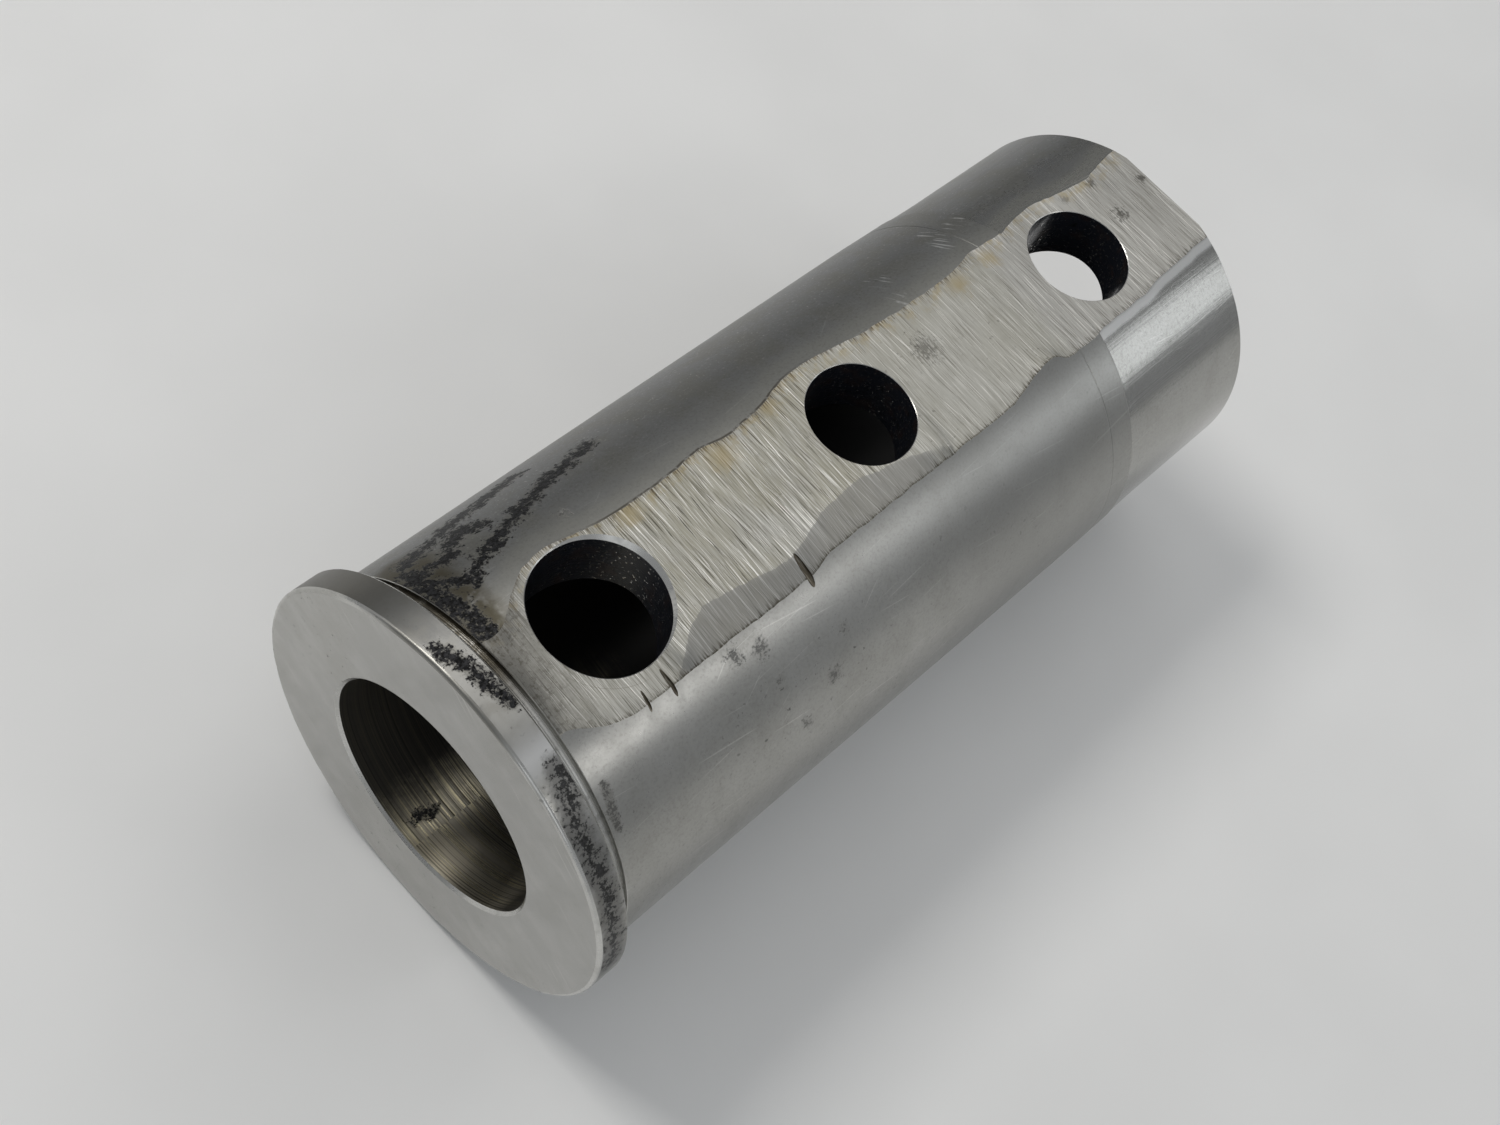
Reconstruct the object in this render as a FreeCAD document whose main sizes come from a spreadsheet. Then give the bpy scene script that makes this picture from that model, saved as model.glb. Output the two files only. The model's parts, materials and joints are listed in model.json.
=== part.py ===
"""Flanged tool-holder sleeve for a lathe turret, one turned steel piece.

The boring bar lies in the sleeve's bore, the sleeve's shank lies in the turret's bore, and the
turret's clamp screws reach the bar through three plain holes in a flat along the top.

Frame: +X along the bore from the head to the tail, +Z up through the flat, origin on the bore's
axis in the plane of the head's seating face. Millimetres.
"""
import FreeCAD, Part
import os

import Sketcher
from FreeCAD import Vector

# Driving dimensions, in millimetres. Inch sizes are noted where the piece follows one.
DIMENSIONS = [
    ("bore_diameter", 31.75, "1-1/4 in boring bar"),
    ("shank_diameter", 50.8, "2 in turret bore"),
    ("shank_length", 120.65, "4-3/4 in, seating face to tail end"),
    ("head_diameter", 55.56, "2-3/16 in"),
    ("head_thickness", 4.37, "11/64 in"),
    ("head_front_round", 0.5, "rounded front edge of the head"),
    ("head_back_chamfer", 0.25, "broken back edge of the head"),
    ("relief_width", 2.1, "undercut beside the seating face"),
    ("relief_depth", 0.5, "undercut below the shank's surface"),
    ("tail_start", 94.6, "seating face to the smaller tail"),
    ("tail_diameter", 50.0, "1-31/32 in"),
    ("step_chamfer", 0.3, "broken corner where the tail starts"),
    ("tail_chamfer", 0.6, "outer corner of the tail end"),
    ("bore_chamfer", 0.4, "both mouths of the bore"),
    ("flat_height", 23.42, "bore axis to the flat"),
    ("flat_slope", 2.0, "length of the slope where the flat climbs beside the undercut"),
    ("first_hole_place", 15.88, "5/8 in, seating face to the head-end screw hole"),
    ("hole_pitch", 42.86, "1-11/16 in between screw holes"),
    ("large_hole_diameter", 16.5, "head-end screw hole"),
    ("large_hole_mouth", 17.4, "countersunk mouth of the head-end screw hole"),
    ("small_hole_diameter", 14.1, "middle and tail screw holes"),
]
SHEET = "Dimensions"
NODE = "flanged_sleeve"
OVERSHOOT = 2.0  # how far a cutting outline runs past the metal
SMALLEST_CUT = 0.001  # cubic millimetres


def make_sheet(doc):
    """Put every driving dimension in the sheet, under its own alias."""
    sheet = doc.addObject("Spreadsheet::Sheet", SHEET)
    for row, (alias, value, note) in enumerate(DIMENSIONS, start=1):
        sheet.set(f"A{row}", alias)
        sheet.set(f"B{row}", str(value))
        sheet.set(f"C{row}", note)
        sheet.setAlias(f"B{row}", alias)
    doc.recompute()
    return sheet


def cell(alias):
    """The expression that reads one dimension from the sheet."""
    return f"{SHEET}.{alias}"


def half(alias):
    return f"{SHEET}.{alias} / 2"


def origin_plane(body, role):
    return next(o for o in body.Origin.OriginFeatures if o.Role == role)


def sketch_on(body, role, name, offset=Vector()):
    """A new sketch on one of the body's own origin planes."""
    sketch = body.newObject("Sketcher::SketchObject", name)
    sketch.AttachmentSupport = [(origin_plane(body, role), "")]
    sketch.MapMode = "FlatFace"
    sketch.AttachmentOffset = FreeCAD.Placement(offset, FreeCAD.Rotation())
    return sketch


def bind(sketch, kind, geometry, point, name, expression, value):
    """Hold one point at a distance from the sketch's origin, on the side where it starts."""
    ends = (-1, 1, geometry, point) if value >= 0 else (geometry, point, -1, 1)
    index = sketch.addConstraint(Sketcher.Constraint(kind, *ends, abs(value)))
    sketch.renameConstraint(index, name)
    sketch.setExpression(f"Constraints.{name}", expression)


def outline(sketch, corners, across, along):
    """A closed outline, held level wherever two corners share a height or a place.

    corners holds the rough corner points. across and along hold (corner, name, expression) for
    the places and heights of the outline's corners.
    """
    count = len(corners)
    for i, start in enumerate(corners):
        end = corners[(i + 1) % count]
        sketch.addGeometry(Part.LineSegment(Vector(*start, 0), Vector(*end, 0)))
        if start[1] == end[1]:
            sketch.addConstraint(Sketcher.Constraint("Horizontal", i))
        elif start[0] == end[0]:
            sketch.addConstraint(Sketcher.Constraint("Vertical", i))
    for i in range(count):
        sketch.addConstraint(Sketcher.Constraint("Coincident", i, 2, (i + 1) % count, 1))
    for corner, name, expression in across:
        bind(sketch, "DistanceX", corner, 1, name, expression, corners[corner][0])
    for corner, name, expression in along:
        bind(sketch, "DistanceY", corner, 1, name, expression, corners[corner][1])


def turned_blank(doc, body):
    """The head, shank, tail and bore, turned in one setting."""
    sketch = sketch_on(body, "XZ_Plane", "BlankOutline")
    corners = [(-4, 16), (-4, 28), (0, 28), (0, 25), (95, 25), (95, 24), (120, 24), (120, 16)]
    outline(
        sketch,
        corners,
        across=[
            (0, "HeadThickness", cell("head_thickness")),
            (4, "TailStart", cell("tail_start")),
            (6, "ShankLength", cell("shank_length")),
        ],
        along=[
            (0, "BoreRadius", half("bore_diameter")),
            (1, "HeadRadius", half("head_diameter")),
            (3, "ShankRadius", half("shank_diameter")),
            (5, "TailRadius", half("tail_diameter")),
        ],
    )
    seat = Sketcher.Constraint("PointOnObject", 2, 1, -2)
    sketch.addConstraint(seat)
    blank = body.newObject("PartDesign::Revolution", "TurnedBlank")
    blank.Profile = sketch
    blank.ReferenceAxis = (sketch, ["H_Axis"])
    blank.Angle = 360
    return blank


def shoulder_relief(doc, body):
    """The undercut that lets the head seat flat against the turret."""
    sketch = sketch_on(body, "XZ_Plane", "ReliefOutline")
    corners = [(0, 24.9), (0, 27), (2, 27), (2, 24.9)]
    outline(
        sketch,
        corners,
        across=[(2, "ReliefWidth", cell("relief_width"))],
        along=[
            (0, "ReliefFloor", f"{half('shank_diameter')} - {cell('relief_depth')}"),
            (1, "ReliefTop", f"{half('shank_diameter')} + {OVERSHOOT}"),
        ],
    )
    sketch.addConstraint(Sketcher.Constraint("PointOnObject", 0, 1, -2))
    relief = body.newObject("PartDesign::Groove", "ShoulderRelief")
    relief.Profile = sketch
    relief.ReferenceAxis = (sketch, ["H_Axis"])
    relief.Angle = 360
    return relief


def ring_edges(shape, place, radius):
    """Names of the round edges about the bore's axis at one place and radius."""
    names = []
    for number, edge in enumerate(shape.Edges, start=1):
        curve = edge.Curve
        if not isinstance(curve, Part.Circle) or abs(abs(curve.Axis.x) - 1) > 1e-6:
            continue
        if abs(curve.Center.x - place) < 1e-3 and abs(curve.Radius - radius) < 1e-3:
            names.append(f"Edge{number}")
    if not names:
        raise RuntimeError(f"no round edge at x = {place}, radius {radius}")
    return names


def dress(doc, body, kind, name, size_property, size, rings):
    """Chamfer or round the edges at the given (place, radius) rings of the body so far."""
    base = body.Tip
    edges = [edge for place, radius in rings for edge in ring_edges(base.Shape, place, radius)]
    feature = body.newObject(kind, name)
    feature.Base = (base, edges)
    feature.setExpression(size_property, cell(size))
    return feature


def broken_edges(doc, body, sheet):
    """Every turned corner that is rounded or chamfered."""
    head_radius = sheet.head_diameter / 2
    bore_radius = sheet.bore_diameter / 2
    steps = [
        ("PartDesign::Fillet", "HeadFrontRound", "Radius", "head_front_round",
         [(-sheet.head_thickness, head_radius)]),
        ("PartDesign::Chamfer", "HeadBackChamfer", "Size", "head_back_chamfer",
         [(0, head_radius)]),
        ("PartDesign::Chamfer", "StepChamfer", "Size", "step_chamfer",
         [(sheet.tail_start, sheet.shank_diameter / 2)]),
        ("PartDesign::Chamfer", "TailChamfer", "Size", "tail_chamfer",
         [(sheet.shank_length, sheet.tail_diameter / 2)]),
        ("PartDesign::Chamfer", "BoreChamfers", "Size", "bore_chamfer",
         [(-sheet.head_thickness, bore_radius), (sheet.shank_length, bore_radius)]),
    ]
    for step in steps:
        machine(doc, body, dress, *step)


def top_flat(doc, body):
    """The ground flat: a short slope down behind the undercut, then level to the tail end."""
    sketch = sketch_on(body, "XZ_Plane", "FlatOutline")
    corners = [(2, 25), (4, 23), (122, 23), (122, 28), (2, 28)]
    outline(
        sketch,
        corners,
        across=[
            (0, "SlopeStart", cell("relief_width")),
            (1, "SlopeEnd", f"{cell('relief_width')} + {cell('flat_slope')}"),
            (2, "FlatEnd", f"{cell('shank_length')} + {OVERSHOOT}"),
        ],
        along=[
            (0, "SlopeTop", half("shank_diameter")),
            (1, "FlatHeight", cell("flat_height")),
            (3, "FlatTop", half("head_diameter")),
        ],
    )
    flat = body.newObject("PartDesign::Pocket", "TopFlat")
    flat.Profile = sketch
    flat.Type = "Length"
    flat.Midplane = True
    flat.setExpression("Length", cell("head_diameter"))
    return flat


def hole_sketch(body, name, place, diameter):
    """A circle in the plane of the flat, centred over the bore's axis."""
    sketch = sketch_on(body, "XY_Plane", name)
    sketch.setExpression("AttachmentOffset.Base.z", cell("flat_height"))
    sketch.addGeometry(Part.Circle(Vector(30, 0, 0), Vector(0, 0, 1), 7))
    sketch.addConstraint(Sketcher.Constraint("PointOnObject", 0, 3, -1))
    bind(sketch, "DistanceX", 0, 3, "Place", place, 30)
    index = sketch.addConstraint(Sketcher.Constraint("Diameter", 0, 14))
    sketch.renameConstraint(index, "Diameter")
    sketch.setExpression("Constraints.Diameter", diameter)
    return sketch


def large_screw_hole(doc, body):
    """The head-end screw hole, with a countersunk mouth, through the top wall only."""
    sketch = hole_sketch(
        body, "LargeHoleCircle", cell("first_hole_place"), cell("large_hole_diameter")
    )
    doc.recompute()
    hole = body.newObject("PartDesign::Hole", "LargeScrewHole")
    hole.Profile = sketch
    doc.recompute()
    hole.ThreadType = "None"
    hole.DepthType = "Dimension"
    hole.DrillPoint = "Flat"
    hole.HoleCutType = "Countersink"
    hole.HoleCutCustomValues = True
    hole.HoleCutCountersinkAngle = 90
    hole.setExpression("Diameter", cell("large_hole_diameter"))
    hole.setExpression("HoleCutDiameter", cell("large_hole_mouth"))
    hole.setExpression("Depth", cell("flat_height"))
    return hole


def small_screw_hole(doc, body):
    """The middle screw hole, from the flat down into the bore."""
    sketch = hole_sketch(
        body,
        "SmallHoleCircle",
        f"{cell('first_hole_place')} + {cell('hole_pitch')}",
        cell("small_hole_diameter"),
    )
    hole = body.newObject("PartDesign::Pocket", "SmallScrewHole")
    hole.Profile = sketch
    hole.Type = "Length"
    hole.setExpression("Length", cell("flat_height"))
    return hole


def repeat_small_hole(doc, body, hole):
    """The tail screw hole is the middle one, one pitch further along."""
    pattern = body.newObject("PartDesign::LinearPattern", "TailScrewHole")
    pattern.Originals = [hole]
    pattern.Direction = (hole.Profile[0], ["H_Axis"])
    pattern.Occurrences = 2
    pattern.setExpression("Length", cell("hole_pitch"))
    return pattern


def machine(doc, body, cut, *arguments):
    """Make one cutting feature and make sure that it took metal away."""
    before = body.Shape.Volume
    feature = cut(doc, body, *arguments)
    body.Tip = feature
    doc.recompute()
    if not body.Shape.Volume < before - SMALLEST_CUT:
        raise RuntimeError(f"{feature.Name} took nothing away")
    return feature


def build_sleeve(doc, sheet):
    """The sleeve, feature by feature, in the order in which it is machined."""
    body = doc.addObject("PartDesign::Body", "FlangedSleeve")
    body.Label = NODE
    body.Placement = FreeCAD.Placement()
    turned_blank(doc, body)
    doc.recompute()
    machine(doc, body, shoulder_relief)
    broken_edges(doc, body, sheet)
    machine(doc, body, top_flat)
    machine(doc, body, large_screw_hole)
    middle_hole = machine(doc, body, small_screw_hole)
    machine(doc, body, repeat_small_hole, middle_hole)
    return body


def check(doc, body):
    """Stop before anything is written if any object failed or the sleeve isn't one solid."""
    for obj in doc.Objects:
        if "Invalid" in obj.State or "Error" in obj.State:
            raise RuntimeError(f"{obj.Name} failed: {obj.State}")
    shape = body.Shape
    if shape.isNull() or not shape.isValid() or len(shape.Solids) != 1:
        raise RuntimeError(f"{body.Label} isn't one valid solid")


def main():
    doc = FreeCAD.newDocument("ToolHolderSleeve")
    sheet = make_sheet(doc)
    sleeve = build_sleeve(doc, sheet)
    doc.recompute()
    check(doc, sleeve)
    os.makedirs("parts", exist_ok=True)
    sleeve.Shape.exportStep(f"parts/{sleeve.Label}.step")
    box = sleeve.Shape.BoundBox
    print(f"{sleeve.Label}: {box.XLength:.2f} x {box.YLength:.2f} x {box.ZLength:.2f} mm")
    print(f"volume {sleeve.Shape.Volume / 1000:.2f} cm3")


main()
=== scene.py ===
"""Looks of the flanged tool-holder sleeve: one worn steel piece on a plain pale floor.

The visible sleeve is turned, ground and drilled here like the real one: a lathe outline is
revolved about the bore, an uneven slab grinds the flat, and cutters make the screw holes and the
nicks. The flat's edges and the places of stains are readings from the photograph, rounded.
Lengths in this script are millimetres in the part's frame; meshes are stored in metres.
"""
import json
import math

import bmesh
import bpy
import numpy as np
from mathutils import Matrix, Vector


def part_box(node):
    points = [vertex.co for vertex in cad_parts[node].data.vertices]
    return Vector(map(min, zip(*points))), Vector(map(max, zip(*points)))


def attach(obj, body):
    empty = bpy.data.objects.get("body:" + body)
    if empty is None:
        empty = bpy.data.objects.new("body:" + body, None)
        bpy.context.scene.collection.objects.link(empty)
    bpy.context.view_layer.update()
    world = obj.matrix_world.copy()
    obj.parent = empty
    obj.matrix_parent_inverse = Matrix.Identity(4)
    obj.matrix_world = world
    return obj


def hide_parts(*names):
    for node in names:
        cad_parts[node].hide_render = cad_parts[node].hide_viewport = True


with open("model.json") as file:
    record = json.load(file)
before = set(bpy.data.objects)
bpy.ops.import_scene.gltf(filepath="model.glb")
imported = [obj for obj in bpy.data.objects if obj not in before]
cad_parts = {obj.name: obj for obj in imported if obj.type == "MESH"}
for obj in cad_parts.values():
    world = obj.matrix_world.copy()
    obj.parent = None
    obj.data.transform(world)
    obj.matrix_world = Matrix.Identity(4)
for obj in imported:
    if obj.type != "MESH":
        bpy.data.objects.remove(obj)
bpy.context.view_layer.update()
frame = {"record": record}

NODE = "flanged_sleeve"
MM = 0.001

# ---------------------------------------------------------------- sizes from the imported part

low, high = (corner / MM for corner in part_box(NODE))
mounts = {m["name"]: m for m in frame["record"]["mounts"]}


def radius_of(mount):
    return mounts[mount]["dims"]["r_mm"]


FRONT = low.x
TAIL_END = high.x
HEAD_RADIUS = -low.z
BORE_RADIUS = radius_of("bar_bore")
SHANK_RADIUS = radius_of("shank")
HOLES = [
    (mounts[name]["pos_m"][0] / MM, radius_of(name))
    for name in ("head_screw_hole", "middle_screw_hole", "tail_screw_hole")
]

HEAD_ROUND = 0.5
HEAD_BACK_CHAMFER = 0.25
RELIEF_WIDTH = 2.1
RELIEF_DEPTH = 0.5
TAIL_START = 94.6
TAIL_RADIUS = 25.0
TAIL_CHAMFER = 0.6
BORE_CHAMFER = 0.4
SCRIBED_LINE = 90.2
SCRIBED_DEPTH = 0.035
SHANK_CORNER = 0.06
HEAD_WEAR = 0.03
# Cutters reach up to this height, clear of the whole sleeve.
CLEAR_HEIGHT = 31.0

SEGMENTS = 480
RING_PITCH = 1.5

# Zones of the surface; each one is a material slot.
ZONES = ["shank", "tail", "front_face", "head_rim", "relief", "flat", "hole_wall", "bore",
         "bright_edge", "tail_face", "nick"]
ZONE = {name: index for index, name in enumerate(ZONES)}

# ---------------------------------------------------------------- the ground flat

# Edges of the flat as angles about the bore, in degrees from the top, at places along the part.
NEAR_EDGE = [(0, 19.5), (3.5, 20), (5.5, 23), (8, 25.5), (11, 27), (39, 27), (42, 25), (76, 24.2),
             (80, 22), (83.5, 20.3), (86.5, 20.2), (87.2, 23.4), (94.4, 23.4), (95.2, 22.4), (105, 22.2),
             (108, 21), (121, 19.6)]
FAR_EDGE = [(0, 9.5), (3.5, 8.4), (5, 9), (6.5, 11), (8, 14), (10, 17), (12, 19.5), (15, 21), (17, 20.5),
            (20, 18.5), (23.5, 17), (28, 16.5), (34, 17), (39, 18), (42, 16), (46, 17), (50, 18.5),
            (54, 21.2), (59, 21.6), (64, 19.2), (70, 18), (79, 17.2), (85, 18), (88, 20), (94, 19),
            (99, 21), (102, 22), (108, 19), (112, 17.5), (118, 20.5), (121, 21)]
# The second, steeper ground facet starts at this y and runs down to the near edge.
FACET_EDGE = [(14, -12.5), (18, -11), (22, -8), (25.5, -6.7), (37, -8.6), (40, -8), (45, -6.5), (51, -6),
              (57, -7), (64, -9), (69, -11.5), (74, -12.5)]
FACET_DROP = 0.42
FACET_FADE = 2.0
EDGE_ROLL = 2.2
# The ground surface climbs to the shank just behind the undercut, over this many millimetres.
RUN_OUT = 3.0
GRIT = np.random.default_rng(41)
FINE_PITCH = 0.05
FINE_X = np.arange(-2.0, 124.0, FINE_PITCH)


def bell(sigma):
    """A bell curve sampled at FINE_PITCH, out to four sigma on both sides."""
    reach = int(4 * sigma / FINE_PITCH)
    return np.exp(-0.5 * (np.arange(-reach, reach + 1) * FINE_PITCH / sigma) ** 2)


def smooth_track(points, sigma):
    """Values along FINE_X through the points, rounded over sigma millimetres."""
    taps = bell(sigma)
    padded = np.pad(np.interp(FINE_X, *zip(*points)), len(taps) // 2, mode="edge")
    return np.convolve(padded, taps / taps.sum(), mode="valid")


def grit_track(size, sigma):
    """Seeded roughness along FINE_X, of the given size and with grains about sigma long."""
    taps = bell(sigma)
    rough = GRIT.normal(size=len(FINE_X))
    wave = np.convolve(np.pad(rough, len(taps) // 2, mode="wrap"), taps, mode="valid")
    return size * wave / wave.std()


def ease(t):
    """Smoothly from 0 to 1 while t goes from 0 to 1."""
    t = np.clip(t, 0, 1)
    return t * t * (3 - 2 * t)


def worn_shank(x):
    """The shank is polished down a little towards the tail."""
    return SHANK_RADIUS - 0.14 * ease((x - 84.0) / 11.0)


def worn_tail(x):
    """The tail is a little fuller just behind the step."""
    return TAIL_RADIUS + 0.12 * (1 - ease((x - TAIL_START) / 7.0))


shell_radius = np.where(FINE_X < TAIL_START, worn_shank(FINE_X), worn_tail(FINE_X))
near_angle = np.radians(smooth_track(NEAR_EDGE, 0.7) + grit_track(0.10, 0.8) + grit_track(0.05, 0.3))
far_angle = np.radians(smooth_track(FAR_EDGE, 0.7) + grit_track(0.12, 0.8) + grit_track(0.07, 0.3))
calm_near = np.radians(smooth_track(NEAR_EDGE, 3.0))
calm_far = np.radians(smooth_track(FAR_EDGE, 3.0))
calm_radius = smooth_track([(0, SHANK_RADIUS), (TAIL_START - 4, SHANK_RADIUS),
                            (TAIL_START + 4, TAIL_RADIUS), (121, TAIL_RADIUS)], 2.0)
facet_edge = smooth_track(FACET_EDGE, 0.5) + grit_track(0.05, 0.3)
near_y, near_z = -shell_radius * np.sin(near_angle), shell_radius * np.cos(near_angle)
far_y, far_z = shell_radius * np.sin(far_angle), shell_radius * np.cos(far_angle)
calm_near_y, calm_near_z = -calm_radius * np.sin(calm_near), calm_radius * np.cos(calm_near)
calm_far_y, calm_far_z = calm_radius * np.sin(calm_far), calm_radius * np.cos(calm_far)


def along(track, x):
    """A track's values at the places x."""
    return np.interp(x, FINE_X, track)


def flat_height(x, y):
    """Height of the ground surface above the bore's axis."""
    x, y = np.broadcast_arrays(np.asarray(x, float), np.asarray(y, float))
    ny, nz = along(near_y, x), along(near_z, x)
    fy, fz = along(far_y, x), along(far_z, x)
    cny, cnz = along(calm_near_y, x), along(calm_near_z, x)
    cfy, cfz = along(calm_far_y, x), along(calm_far_z, x)
    kink = along(facet_edge, x)
    facet = ease((kink - ny) / FACET_FADE)
    lifted = cnz + FACET_DROP * facet

    def calm(at):
        return lifted + (cfz - lifted) * (at - cny) / (cfy - cny)

    z = calm(y)
    z = z + (fz - calm(fy)) * ease(1 - (fy - y) / EDGE_ROLL)
    rolled = z + (nz - calm(ny)) * ease(1 - (y - ny) / EDGE_ROLL)
    ground = calm(kink) + (nz - calm(kink)) * (kink - y) / np.maximum(kink - ny, 0.3)
    beyond_kink = np.where(facet > 0.999, z, rolled)
    surface = np.where(y < kink, rolled + (ground - rolled) * facet, beyond_kink)
    outside = np.maximum(np.maximum(ny - y, y - fy), 0)
    shell = np.sqrt((SHANK_RADIUS - SHANK_CORNER) ** 2 - y ** 2) + 0.5 * outside
    climb = np.clip((RELIEF_WIDTH + RUN_OUT - x) / RUN_OUT, 0, 1) ** 2
    return surface + (shell - surface) * climb


def mesh_object(name, points, faces, zones):
    """A new mesh object from points in millimetres, with outward faces."""
    mesh = bpy.data.meshes.new(name)
    mesh.from_pydata([tuple(p) for p in np.asarray(points) * MM], [], faces)
    for zone in ZONES:
        mesh.materials.append(materials[zone])
    mesh.polygons.foreach_set("material_index", zones)
    bm = bmesh.new()
    bm.from_mesh(mesh)
    bmesh.ops.recalc_face_normals(bm, faces=bm.faces)
    bm.to_mesh(mesh)
    bm.free()
    obj = bpy.data.objects.new(name, mesh)
    bpy.context.scene.collection.objects.link(obj)
    return obj


def grid_faces(rows, columns, wrap_rows=False, wrap_columns=False):
    """Quads over a rows x columns net of points."""
    faces = []
    for i in range(rows if wrap_rows else rows - 1):
        for j in range(columns if wrap_columns else columns - 1):
            a, b = i * columns + j, i * columns + (j + 1) % columns
            c, d = (i + 1) % rows * columns + (j + 1) % columns, (i + 1) % rows * columns + j
            faces.append((a, b, c, d))
    return faces


# ---------------------------------------------------------------- the turned blank


def blank_outline():
    """Closed lathe outline as (x, radius, zone of the stretch that starts here)."""
    points = [(FRONT + BORE_CHAMFER, BORE_RADIUS, "bright_edge"),
              (FRONT, BORE_RADIUS + BORE_CHAMFER, "front_face")]
    for radius in np.arange(BORE_RADIUS + 2, HEAD_RADIUS - HEAD_ROUND - 0.5, 2.0):
        points.append((FRONT, radius, "front_face"))
    for turn in np.linspace(0, math.pi / 2, 12):
        points.append((FRONT + HEAD_ROUND * (1 - math.cos(turn)),
                       HEAD_RADIUS - HEAD_ROUND * (1 - math.sin(turn)), "bright_edge"))
    points[-1] = (*points[-1][:2], "head_rim")
    for x in np.arange(FRONT + 1.1, -HEAD_BACK_CHAMFER - 0.2, 0.6):
        points.append((x, HEAD_RADIUS, "head_rim"))
    points += [(-HEAD_BACK_CHAMFER, HEAD_RADIUS, "bright_edge"),
               (0, HEAD_RADIUS - HEAD_BACK_CHAMFER, "relief")]
    floor = SHANK_RADIUS - RELIEF_DEPTH
    points += [(0, floor + 0.12, "relief"), (0.04, floor + 0.04, "relief"), (0.12, floor, "relief")]
    for x in np.arange(0.2, RELIEF_WIDTH - 0.2, 0.1):
        ridge = 0.05 * max(0.0, math.sin(x * 7.1)) ** 3 + 0.018 * math.sin(x * 23.0)
        points.append((x, floor + ridge, "relief"))
    points += [(RELIEF_WIDTH - 0.25, floor, "relief"), (RELIEF_WIDTH - 0.1, floor - 0.15, "relief"),
               (RELIEF_WIDTH, floor, "relief"), (RELIEF_WIDTH, SHANK_RADIUS - SHANK_CORNER, "bright_edge"),
               (RELIEF_WIDTH + 0.07, SHANK_RADIUS, "shank")]
    for x in np.arange(RELIEF_WIDTH + 0.6, TAIL_START - 0.6, RING_PITCH):
        if abs(x - SCRIBED_LINE) < 0.4:
            continue
        points.append((x, worn_shank(x), "shank"))
    points += [(SCRIBED_LINE - 0.12, worn_shank(SCRIBED_LINE), "shank"),
               (SCRIBED_LINE, worn_shank(SCRIBED_LINE) - SCRIBED_DEPTH, "shank"),
               (SCRIBED_LINE + 0.12, worn_shank(SCRIBED_LINE), "shank")]
    # the scribed line's points take their place between the rings
    shank = sorted(p for p in points if p[2] == "shank")
    points = [p for p in points if p[2] != "shank"] + shank
    points += [(TAIL_START - 0.15, worn_shank(TAIL_START), "shank"),
               (TAIL_START, worn_shank(TAIL_START) - 0.1, "shank"),
               (TAIL_START + 0.10, worn_tail(TAIL_START) - 0.05, "tail"),
               (TAIL_START + 0.22, worn_tail(TAIL_START), "tail")]
    for x in np.arange(TAIL_START + 1.0, TAIL_END - TAIL_CHAMFER - 0.4, RING_PITCH):
        points.append((x, worn_tail(x), "tail"))
    points += [(TAIL_END - TAIL_CHAMFER, TAIL_RADIUS, "bright_edge"),
               (TAIL_END - 0.12, TAIL_RADIUS - TAIL_CHAMFER + 0.12, "bright_edge"),
               (TAIL_END, TAIL_RADIUS - TAIL_CHAMFER, "tail_face"),
               (TAIL_END, (TAIL_RADIUS + BORE_RADIUS) / 2, "tail_face"),
               (TAIL_END, BORE_RADIUS + BORE_CHAMFER, "bright_edge"),
               (TAIL_END - BORE_CHAMFER, BORE_RADIUS, "bore")]
    for x in np.arange(TAIL_END - 2, FRONT + 1.0, -RING_PITCH):
        points.append((x, BORE_RADIUS, "bore"))
    return points


# Uneven wear of the head's corners: waves round the rim as (count, phase, size).
WEAR_WAVES = [(3, 0.4, 0.35), (7, 1.9, 0.3), (13, 0.7, 0.3), (29, 2.6, 0.25), (61, 5.1, 0.2)]


def turned_blank():
    """The outline revolved about the bore, with the head's outer corners worn unevenly."""
    outline = blank_outline()
    turn = np.arange(SEGMENTS) * (2 * math.pi / SEGMENTS)
    waves = sum(np.sin(turn * count + phase) * size for count, phase, size in WEAR_WAVES)
    wear = np.maximum(HEAD_WEAR * waves, 0)
    rings = []
    for x, radius, zone in outline:
        on_head_corner = zone == "bright_edge" and x < 0 and radius > BORE_RADIUS + 4
        worn = wear if on_head_corner else np.zeros(SEGMENTS)
        r = radius - worn
        along_bore = x + worn * (x < FRONT / 2)
        rings.append(np.stack([along_bore, r * np.sin(turn), r * np.cos(turn)], axis=1))
    faces = grid_faces(len(outline), SEGMENTS, wrap_rows=True, wrap_columns=True)
    zones = [ZONE[zone] for _, _, zone in outline for _ in range(SEGMENTS)]
    return mesh_object("sleeve", np.concatenate(rings), faces, zones)


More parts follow.
